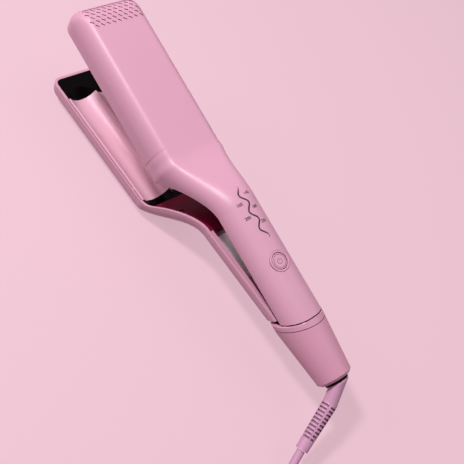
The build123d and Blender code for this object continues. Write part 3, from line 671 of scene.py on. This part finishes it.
# ------------------------------------------------------------------ cord
@dataclass
class PowerCord:
    """Cord from the strain relief to the plug, with its spare length in a tied coil."""

    diameter: float = 0.0062
    route: list[Point] = field(
        default_factory=lambda: [
            (-0.2886, 0.0431, 0.0194),
            (-0.2966, 0.0610, 0.0096),
            (-0.3062, 0.0730, 0.0044),
            (-0.3190, 0.0875, 0.0034),
        ]
    )
    tail: list[Point] = field(
        default_factory=lambda: [
            (-0.3584, 0.0980, 0.0218),
            (-0.3670, 0.0954, 0.0256),
            (-0.3736, 0.0874, 0.0296),
            (-0.3758, 0.0775, 0.0315),
            (-0.3760, 0.0675, 0.0318),
        ]
    )
    coil_centre: tuple[float, float] = (-0.352, 0.056)
    outer_turn: float = 0.0428
    inner_turn: float = 0.0292
    turn_pitch: float = 0.0064
    layer_height: float = 0.0062
    layers: int = 4
    points_per_turn: int = 16
    start_angle: float = 50.0
    exit_angle: float = 75.0
    round_steps: int = 5
    run_steps: int = 8
    spline_order: int = 3

    def build(self, wardrobe: Wardrobe) -> None:
        """Args:
            wardrobe: Source of the cord's finish.
        """
        points = self.route + self._coil_points() + self.tail
        curve = bpy.data.curves.new("flex_cord", "CURVE")
        curve.dimensions = "3D"
        curve.bevel_depth = self.diameter / 2
        curve.bevel_resolution = self.round_steps
        curve.resolution_u = self.run_steps
        curve.use_fill_caps = True
        spline = curve.splines.new("NURBS")
        spline.points.add(len(points) - 1)
        for place, point in zip(spline.points, points):
            place.co = (*point, 1.0)
        spline.order_u = self.spline_order
        spline.use_endpoint_u = True
        cord = bpy.data.objects.new("flex_cord", curve)
        bpy.context.scene.collection.objects.link(cord)
        wardrobe.dress(cord, FinishName.LILAC_FLEX)
        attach(cord, "main_body")
        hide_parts("power_cord", "power_cord_coil", "power_cord_tail")

    def _coil_points(self) -> list[Point]:
        """Work out the turns: each layer winds in or out, and the last one ends at the tail.

        Returns:
            Points of the coil, in order, in metres.
        """
        step = 2 * math.pi / self.points_per_turn
        turns = (self.outer_turn - self.inner_turn) / self.turn_pitch
        full = round(turns * self.points_per_turn)
        points = []
        angle = math.radians(self.start_angle)
        for layer in range(self.layers):
            count = full
            if layer == self.layers - 1:
                last_angle = angle + (full - 1) * step
                past_exit = (last_angle - math.radians(self.exit_angle)) % (2 * math.pi)
                count = full - round(past_exit / step)
            height = (layer + 0.5) * self.layer_height
            for i in range(count):
                share = i / (count - 1)
                drawn_in = share if layer % 2 == 0 else 1 - share
                radius = self.outer_turn + (self.inner_turn - self.outer_turn) * drawn_in
                points.append(self._on_turn(angle, radius, height))
                angle += step
            angle += step
        return points

    def _on_turn(self, angle: float, radius: float, height: float) -> Point:
        """Place a point on a turn of the coil."""
        centre_x, centre_y = self.coil_centre
        return (centre_x + radius * math.cos(angle), centre_y + radius * math.sin(angle), height)


# ------------------------------------------------------------------ print and small trim
@dataclass(frozen=True)
class Number:
    """One printed number and its place on the main body, in mm."""

    text: str
    x: float
    y: float


@dataclass
class PrintedWave:
    """Dark wave line printed along the neck, with plain numbers beside it.

    The line's sizes are in mm. The lift and the numbers' size and weight are in metres.
    """

    frame: ToolFrame
    front_x: float = 154.2
    rear_x: float = 110.8
    middle_y: float = -0.6
    swing: float = 2.1
    waves: float = 3.15
    drift_y: float = -0.9
    line_width: float = 1.25
    taper: float = 7.0
    thin_end: float = 0.15
    steps: int = 160
    lift: float = 0.00006
    above_z: float = 24.0
    number_size: float = 0.0033
    number_weight: float = 0.00006
    letter_steps: int = 4
    numbers: tuple[Number, ...] = (
        Number("140", 147.4, -5.6),
        Number("160", 141.0, 5.4),
        Number("180", 135.6, -5.4),
        Number("200", 129.8, 5.0),
        Number("220", 123.6, -5.8),
    )

    def build(self, wardrobe: Wardrobe) -> None:
        """Lay the line and the numbers on the upper housing.

        Args:
            wardrobe: Source of the print's finish.
        """
        self._lay(self._line(), wardrobe)
        for number in self.numbers:
            self._lay(self._number(number), wardrobe)

    def _place(self, share: float) -> Vector:
        """Find the line's middle at a share of its run.

        Args:
            share: How far along the line, from 0 at its front to 1 at its rear.

        Returns:
            The place as x and y on the main body, in mm.
        """
        x = self.front_x + (self.rear_x - self.front_x) * share
        turn = 2 * math.pi * self.waves * share
        y = self.middle_y - self.swing * math.cos(turn) + self.drift_y * share * share
        return Vector((x, y))

    def _line(self) -> bpy.types.Object:
        """Build the wave as a flat ribbon with thin ends, above the neck.

        Returns:
            A mesh object still to be laid on the surface.
        """
        verts = []
        faces = []
        for i in range(self.steps + 1):
            share = i / self.steps
            place = self._place(share)
            run = self._place(share + 0.5 / self.steps) - self._place(share - 0.5 / self.steps)
            side = Vector((-run.y, run.x)).normalized()
            near_end = min(share, 1 - share)
            half = self.line_width / 2 * min(1.0, self.taper * near_end + self.thin_end)
            for shift in (-half, half):
                verts.append(self.frame.point(*(place + side * shift), self.above_z))
            if i:
                faces.append((2 * i - 2, 2 * i - 1, 2 * i + 1, 2 * i))
        return flat_piece("printed_wave", verts, faces)

    def _number(self, number: Number) -> bpy.types.Object:
        """Build one number as a flat mesh above the neck.

        Args:
            number: Number to print.

        Returns:
            A mesh object still to be laid on the surface.
        """
        data = bpy.data.curves.new(f"number_{number.text}", "FONT")
        data.body = number.text
        data.size = self.number_size
        data.offset = self.number_weight
        data.align_x = "CENTER"
        data.align_y = "CENTER"
        data.resolution_u = self.letter_steps
        letters = bpy.data.objects.new(f"number_{number.text}", data)
        mesh = bpy.data.meshes.new_from_object(letters)
        bpy.data.objects.remove(letters)
        piece = bpy.data.objects.new(f"printed_number_{number.text}", mesh)
        bpy.context.scene.collection.objects.link(piece)
        right = self.frame.direction(0, -1, 0)
        up = self.frame.direction(1, 0, 0)
        out = self.frame.direction(0, 0, 1)
        turn = Matrix((right, up, out)).transposed().to_4x4()
        place = self.frame.point(number.x, number.y, self.above_z)
        mesh.transform(Matrix.Translation(place) @ turn)
        return piece

    def _lay(self, piece: bpy.types.Object, wardrobe: Wardrobe) -> None:
        """Drop a flat mesh straight onto the upper housing, dress it and make it ride.

        Args:
            piece: Mesh object above the housing.
            wardrobe: Source of the print's finish.
        """
        housing = bpy.data.objects["upper_housing"]
        down = -self.frame.direction(0, 0, 1)
        for vertex in piece.data.vertices:
            hit, place, normal, _ = housing.ray_cast(vertex.co, down)
            if hit:
                vertex.co = place + normal * self.lift
        wardrobe.dress(piece, FinishName.PRINT)
        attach(piece, "main_body")
        LOG.info("printed %s", piece.name)


@dataclass
class ButtonMark:
    """Faint power mark on the button: an open ring with a stroke, and a ring near the edge.

    Sizes are in mm, and the ring's gap is half of its opening, in degrees.
    """

    frame: ToolFrame
    button_x: float = 92.7
    top_z: float = 17.3
    lift: float = 0.05
    ring_radius: float = 2.0
    ring_gap: float = 35.0
    stroke_front: float = 2.5
    stroke_rear: float = 0.4
    edge_radius: float = 4.9
    line_width: float = 0.42
    steps: int = 48

    def build(self, wardrobe: Wardrobe) -> None:
        """Lay the rings and the stroke on the button.

        Args:
            wardrobe: Source of the mark's finish.
        """
        gap = math.radians(self.ring_gap)
        ring = self._arc(self.ring_radius, gap, 2 * math.pi - gap)
        stroke = [Vector((self.stroke_rear, 0)), Vector((self.stroke_front, 0))]
        edge = self._arc(self.edge_radius, 0, 2 * math.pi)
        self._band("power_mark_ring", ring, wardrobe)
        self._band("power_mark_stroke", stroke, wardrobe)
        self._band("button_edge_ring", edge, wardrobe)

    def _arc(self, radius: float, start: float, end: float) -> list[Vector]:
        """Give points on an arc about the button's middle, from one angle to another."""
        angles = [start + (end - start) * i / self.steps for i in range(self.steps + 1)]
        return [Vector((radius * math.cos(angle), radius * math.sin(angle))) for angle in angles]

    def _band(self, name: str, line: list[Vector], wardrobe: Wardrobe) -> None:
        """Build a flat band along a line on the button's top.

        Args:
            name: Name of the band.
            line: Points from the button's middle, in mm.
            wardrobe: Source of the mark's finish.
        """
        verts = []
        faces = []
        height = self.top_z + self.lift
        for i, place in enumerate(line):
            run = line[min(i + 1, len(line) - 1)] - line[max(i - 1, 0)]
            side = Vector((-run.y, run.x)).normalized() * self.line_width / 2
            for edge in (place - side, place + side):
                verts.append(self.frame.point(self.button_x + edge.x, edge.y, height))
            if i:
                faces.append((2 * i - 2, 2 * i, 2 * i + 1, 2 * i - 1))
        band = flat_piece(name, verts, faces)
        wardrobe.dress(band, FinishName.BUTTON_MARK)
        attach(band, "button")
        LOG.info("laid %s", name)


@dataclass
class SeamShadeBand:
    """Painted shade: a black band laid in the slanted groove between the handle and the collar,
    where the groove falls dark, in mm.
    """

    frame: ToolFrame
    front_x: float = 54.45
    rear_x: float = 53.3
    slant: float = 22.0
    crown_z: float = 17.4
    corner: float = 14.7
    sunk: float = 0.1
    parting_z: float = 2.4
    steps: int = 40

    def build(self, wardrobe: Wardrobe) -> None:
        """Build the band of painted shade over the crown, from one parting line to the other.

        Args:
            wardrobe: Source of the band's finish.
        """
        verts = []
        faces = []
        lean = math.tan(math.radians(self.slant))
        for i, (y, z) in enumerate(self._section()):
            for start_x in (self.rear_x, self.front_x):
                verts.append(self.frame.point(start_x - z * lean, y, z))
            if i:
                faces.append((2 * i - 2, 2 * i - 1, 2 * i + 1, 2 * i))
        seam_shade_band = flat_piece("seam_painted_shade", verts, faces)
        wardrobe.dress(seam_shade_band, FinishName.SEAM_SHADE)
        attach(seam_shade_band, "main_body")
        LOG.info("laid seam_painted_shade")

    def _section(self) -> list[tuple[float, float]]:
        """Work out the handle's upper section, sunk a little.

        Returns:
            Its points as y and z, from right to left.
        """
        radius = self.corner - self.sunk
        middle = self.crown_z - self.corner
        points = [(-middle - radius, self.parting_z)]
        for i in range(self.steps + 1):
            angle = math.pi * i / self.steps
            shift = math.copysign(middle, -math.cos(angle))
            points.append((shift - radius * math.cos(angle), middle + radius * math.sin(angle)))
        points.append((middle + radius, self.parting_z))
        return points


@dataclass
class PlateShadeLines:
    """Painted shade: dark lines beside the lower plate, one in the gap to its casing and one on
    the rim, where the groove between rim and flange falls dark.
    """

    gap_width: float = 0.00055
    shade_line_width: float = 0.0004
    shade_line_inset: float = 0.0012
    overhang: float = 0.0003
    rim_rise: float = 0.0009
    lift: float = 0.00006

    def build(self, wardrobe: Wardrobe) -> None:
        """Lay two lines along each side of the lower plate.

        Args:
            wardrobe: Source of the lines' finish.
        """
        low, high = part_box("lower_wave_plate")
        run = (low[0], high[0])
        gap = high[1] + self.overhang
        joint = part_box("lower_housing")[1][1] - self.shade_line_inset
        for side, name in ((1, "left"), (-1, "right")):
            gap_edges = (side * (gap - self.gap_width), side * gap)
            self._line(f"plate_gap_shade_{name}", run, gap_edges, high[2], wardrobe)
            # The rim line is painted shade on the solid rim, standing in for the dark groove
            # beside the flange.
            rim_line_edges = (side * (joint - self.shade_line_width), side * joint)
            self._line(f"rim_shade_line_{name}", run, rim_line_edges, high[2] + self.rim_rise, wardrobe)

    def _line(
        self,
        name: str,
        run: tuple[float, float],
        across: tuple[float, float],
        top: float,
        wardrobe: Wardrobe,
    ) -> None:
        """Build one flat line on the flange or the rim.

        Args:
            name: Name of the line.
            run: Its rear and front end.
            across: Its two long edges.
            top: Height of the surface that carries it.
            wardrobe: Source of the line's finish.
        """
        height = top + self.lift
        verts = [(run[i], across[j], height) for i, j in ((0, 0), (1, 0), (1, 1), (0, 1))]
        line = flat_piece(name, verts, [(0, 1, 2, 3)])
        wardrobe.dress(line, FinishName.PLATE_GAP_SHADE)
        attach(line, "lower_arm")
        LOG.info("laid %s", name)


@dataclass
class FoilLabel:
    """Blank foil label in the floor of the lever's channel."""

    front_gap: float = 0.003
    length: float = 0.040
    side_gap: float = 0.0012
    floor_half: float = 0.009
    channel_depth: float = 0.009
    lift: float = 0.0001
    rows: int = 24
    columns: int = 8

    def build(self, wardrobe: Wardrobe) -> None:
        """Lay the label on the liner.

        Args:
            wardrobe: Source of the foil's finish.
        """
        _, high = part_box("lever_liner")
        top = high[2] - self.channel_depth + self.lift
        half = self.floor_half - self.side_gap
        front = high[0] - self.front_gap
        verts = []
        faces = []
        for i in range(self.rows + 1):
            for j in range(self.columns + 1):
                x = front - self.length * i / self.rows
                y = -half + 2 * half * j / self.columns
                verts.append((x, y, top))
                if i and j:
                    here = i * (self.columns + 1) + j
                    above = here - self.columns - 1
                    faces.append((here - 1, here, above, above - 1))
        label = flat_piece("foil_label", verts, faces)
        wardrobe.dress(label, FinishName.FOIL)
        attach(label, "lower_arm")
        LOG.info("laid foil_label")


def main() -> None:
    """Build the scene in order: camera, cord, finishes, print and trim, floor and lamps."""
    logging.basicConfig(level=logging.INFO)
    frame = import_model()
    hinge = next(joint for joint in frame["joints"] if joint["name"] == "lower_arm_hinge")
    tool = ToolFrame(Vector(hinge["pos_m"]), math.radians(hinge["range_deg"][1]))
    bpy.context.scene.view_settings.view_transform = "Standard"
    Viewpoint().build()
    wardrobe = Wardrobe()
    PowerCord().build(wardrobe)
    wardrobe.dress_frame()
    PrintedWave(tool).build(wardrobe)
    ButtonMark(tool).build(wardrobe)
    SeamShadeBand(tool).build(wardrobe)
    PlateShadeLines().build(wardrobe)
    FoilLabel().build(wardrobe)
    Studio().build()


if __name__ == "__main__":
    main()
